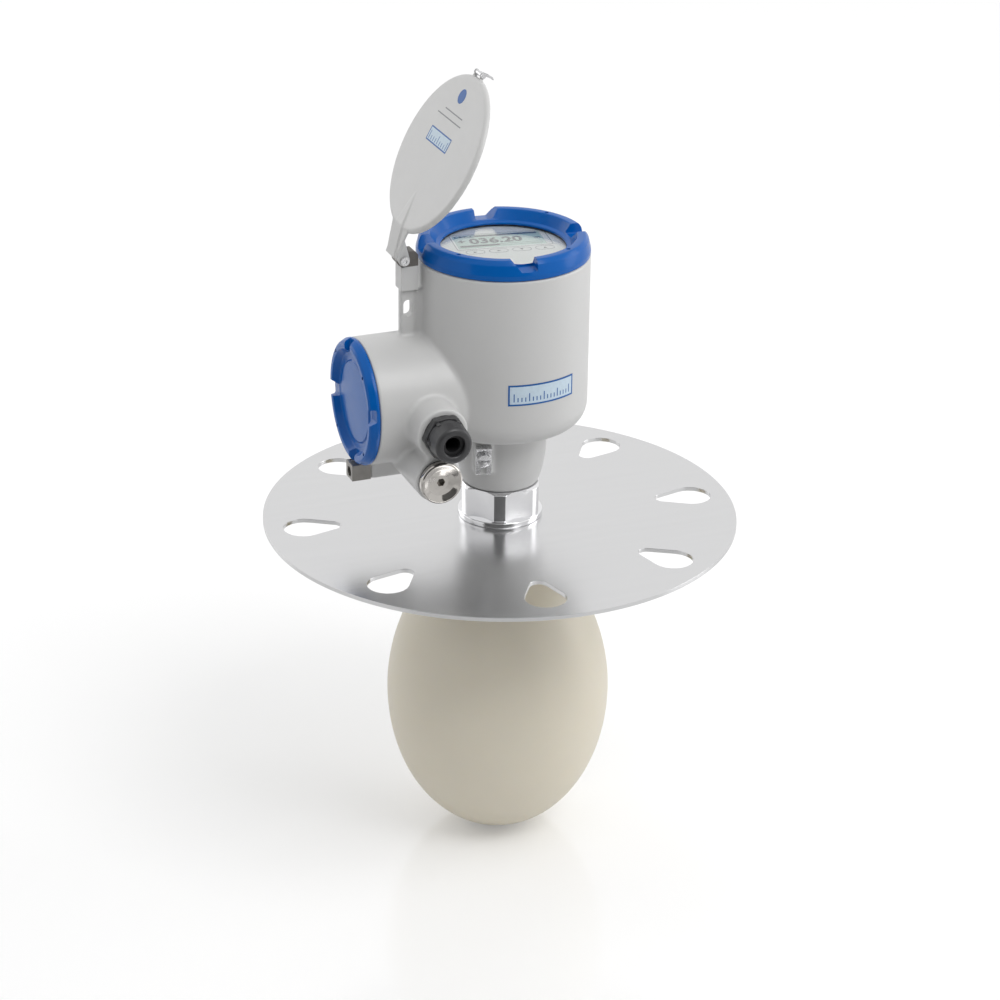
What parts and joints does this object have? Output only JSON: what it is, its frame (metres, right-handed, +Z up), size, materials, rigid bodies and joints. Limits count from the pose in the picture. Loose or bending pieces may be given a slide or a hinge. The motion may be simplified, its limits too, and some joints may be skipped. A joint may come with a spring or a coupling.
{
  "type": "radar level transmitter",
  "caption": "Radar level transmitter on a slotted round flange plate, with a drop-shaped antenna below, a display head with a hinged weather lid and a side terminal compartment.",
  "frame": {"origin": "centre of the flange plate's underside, on the axis of the antenna and the housing", "axes": "+Z up along the housing's axis, -Y is the front with the cable entries, -X is the side of the terminal compartment and of the lid's hinge"},
  "size_m": [0.285, 0.285, 0.4854],
  "materials": {
    "brushed_plate": "fine brushed",
    "polished_steel": "polished",
    "fastener_steel": "satin",
    "ivory_plastic": "satin",
    "white_plastic": "satin",
    "grey_paint": "satin powder coat",
    "blue_paint": "gloss",
    "black_plastic": "satin",
    "seal_rubber": "matte",
    "window_glass": "clear",
    "display_plastic": "satin",
    "lcd": "gloss",
    "unit_plastic": "satin",
    "terminal_plastic": "satin",
    "anodised": "satin",
    "cast_block": "cast"
  },
  "bodies": {
    "transmitter": {"flange_plate": "brushed_plate", "antenna_drop": "ivory_plastic", "antenna_seal": "seal_rubber", "process_connection": "polished_steel", "connection_seal": "seal_rubber", "waveguide_rod": "white_plastic", "housing": "grey_paint", "electronics_unit": "unit_plastic", "display_bezel": "display_plastic", "lcd_panel": "lcd", "terminal_block": "terminal_plastic", "terminal_screws": "fastener_steel", "gland_body": "black_plastic", "gland_washer": "seal_rubber", "cover_lock": "anodised", "cover_lock_screw": "fastener_steel", "lid_bracket": "grey_paint", "bracket_screws": "fastener_steel", "hinge_block": "cast_block", "hinge_pin": "fastener_steel"},
    "display_seal": {"display_cover_seal": "seal_rubber"},
    "display_cover": {"display_cover": "blue_paint", "cover_window": "window_glass", "window_gasket": "seal_rubber", "window_retainer": "anodised"},
    "terminal_seal": {"terminal_cover_seal": "seal_rubber"},
    "terminal_cover": {"terminal_cover": "blue_paint"},
    "gland_insert": {"gland_seal": "seal_rubber"},
    "gland_nut": {"gland_nut": "black_plastic"},
    "plug_washer": {"plug_washer": "seal_rubber"},
    "blind_plug": {"blind_plug": "polished_steel"},
    "earth_clamp": {"earth_clamp": "fastener_steel"},
    "earth_screw": {"earth_screw": "fastener_steel"},
    "weather_lid": {"weather_lid": "grey_paint", "latch_pin": "fastener_steel"},
    "latch_hook": {"latch_hook": "fastener_steel"}
  },
  "joints": [
    {"name": "display_cover_travel", "type": "slide", "parent": "transmitter", "child": "display_seal", "axis": [0, 0, 1], "range_m": [0, 0.01001]},
    {"name": "display_cover_turn", "type": "hinge", "parent": "display_seal", "child": "display_cover", "pos_m": [0, 0, 0.1685], "axis": [0, 0, 1], "range_deg": [0, 1800]},
    {"name": "terminal_cover_travel", "type": "slide", "parent": "transmitter", "child": "terminal_seal", "axis": [-1, 0, 0], "range_m": [0, 0.00801]},
    {"name": "terminal_cover_turn", "type": "hinge", "parent": "terminal_seal", "child": "terminal_cover", "pos_m": [-0.0891, 0, 0.0872], "axis": [-1, 0, 0], "range_deg": [0, 1440]},
    {"name": "gland_nut_travel", "type": "slide", "parent": "transmitter", "child": "gland_insert", "axis": [0, -1, 0], "range_m": [0, 0.00601]},
    {"name": "gland_nut_turn", "type": "hinge", "parent": "gland_insert", "child": "gland_nut", "pos_m": [-0.0575, -0.0613, 0.0835], "axis": [0, -1, 0], "range_deg": [0, 1440]},
    {"name": "blind_plug_travel", "type": "slide", "parent": "transmitter", "child": "plug_washer", "axis": [0, -1, 0], "range_m": [0, 0.00601]},
    {"name": "blind_plug_turn", "type": "hinge", "parent": "plug_washer", "child": "blind_plug", "pos_m": [-0.06, -0.0566, 0.0555], "axis": [0, -1, 0], "range_deg": [0, 1440]},
    {"name": "earth_screw_travel", "type": "slide", "parent": "transmitter", "child": "earth_clamp", "axis": [-0.2588, -0.9659, 0], "range_m": [0, 0.00321]},
    {"name": "earth_screw_turn", "type": "hinge", "parent": "earth_clamp", "child": "earth_screw", "pos_m": [-0.02074, -0.02447, 0.051], "axis": [-0.2588, -0.9659, 0], "range_deg": [0, 1440]},
    {"name": "lid_hinge", "type": "hinge", "parent": "transmitter", "child": "weather_lid", "pos_m": [-0.0632, 0, 0.1726], "axis": [0, -1, 0], "range_deg": [-61, 45]},
    {"name": "latch_swing", "type": "hinge", "parent": "weather_lid", "child": "latch_hook", "pos_m": [-0.01559, 0, 0.27644], "axis": [0, -1, 0], "range_deg": [0, 60]}
  ],
  "couplings": [
    {"joint": "display_cover_travel", "follows": "display_cover_turn", "m_per_rad": 0.00031831},
    {"joint": "terminal_cover_travel", "follows": "terminal_cover_turn", "m_per_rad": 0.00031831},
    {"joint": "gland_nut_travel", "follows": "gland_nut_turn", "m_per_rad": 0.00023873},
    {"joint": "blind_plug_travel", "follows": "blind_plug_turn", "m_per_rad": 0.00023873},
    {"joint": "earth_screw_travel", "follows": "earth_screw_turn", "m_per_rad": 0.00012732}
  ]
}
